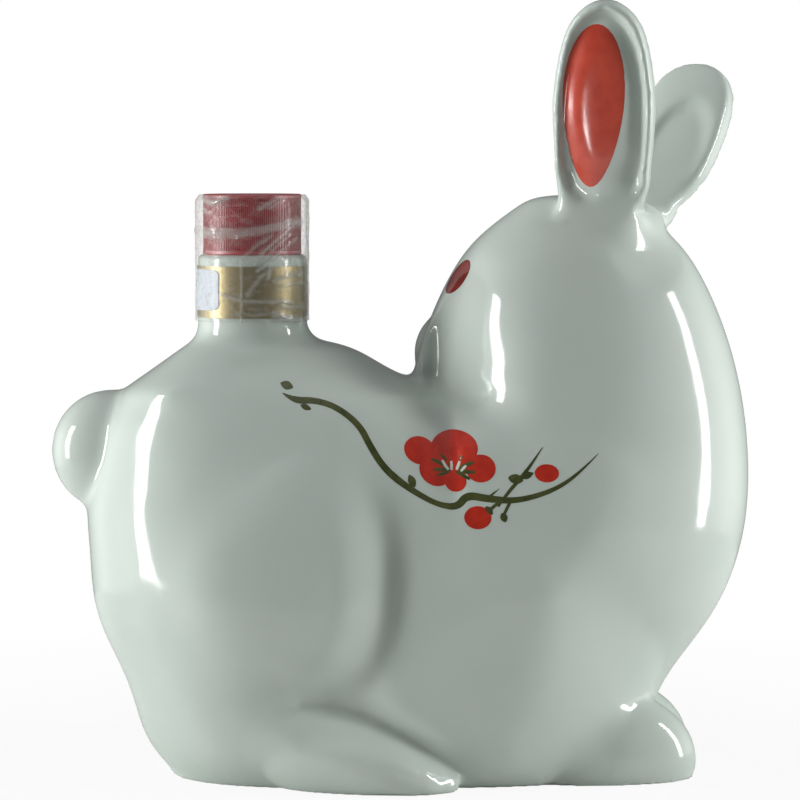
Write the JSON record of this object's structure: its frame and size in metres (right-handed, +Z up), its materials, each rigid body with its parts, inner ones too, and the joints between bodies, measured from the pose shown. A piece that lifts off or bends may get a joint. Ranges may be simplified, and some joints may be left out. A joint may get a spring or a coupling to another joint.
{
  "type": "figural liquor decanter",
  "caption": "Glazed porcelain rabbit-shaped liquor decanter with a necked mouth, ribbed T-cork stopper, paper neck band and clear seal film.",
  "frame": {"origin": "on the table, midway along the figure's length, on its middle plane", "axes": "+X towards the chest, -X towards the tail, +Z up, -Y the painted flank that faces the viewer"},
  "size_m": [0.181, 0.083, 0.1991],
  "materials": {
    "porcelain": "gloss",
    "cap_plastic": "satin",
    "cork": "matte",
    "gold_paper": "satin",
    "white_paper": "satin",
    "seal_film": "gloss"
  },
  "bodies": {
    "root": {"decanter_body": "porcelain", "neck_label": "gold_paper", "volume_sticker": "white_paper"},
    "stopper": {"cap_head": "cap_plastic", "cork": "cork"},
    "film": {"film_sleeve": "seal_film"}
  },
  "joints": [
    {"name": "stopper_lift", "type": "slide", "parent": "root", "child": "stopper", "axis": [0, 0, 1], "range_m": [0, 0.045]},
    {"name": "film_lift", "type": "slide", "parent": "stopper", "child": "film", "axis": [0, 0, 1], "range_m": [0, 0.036]}
  ]
}
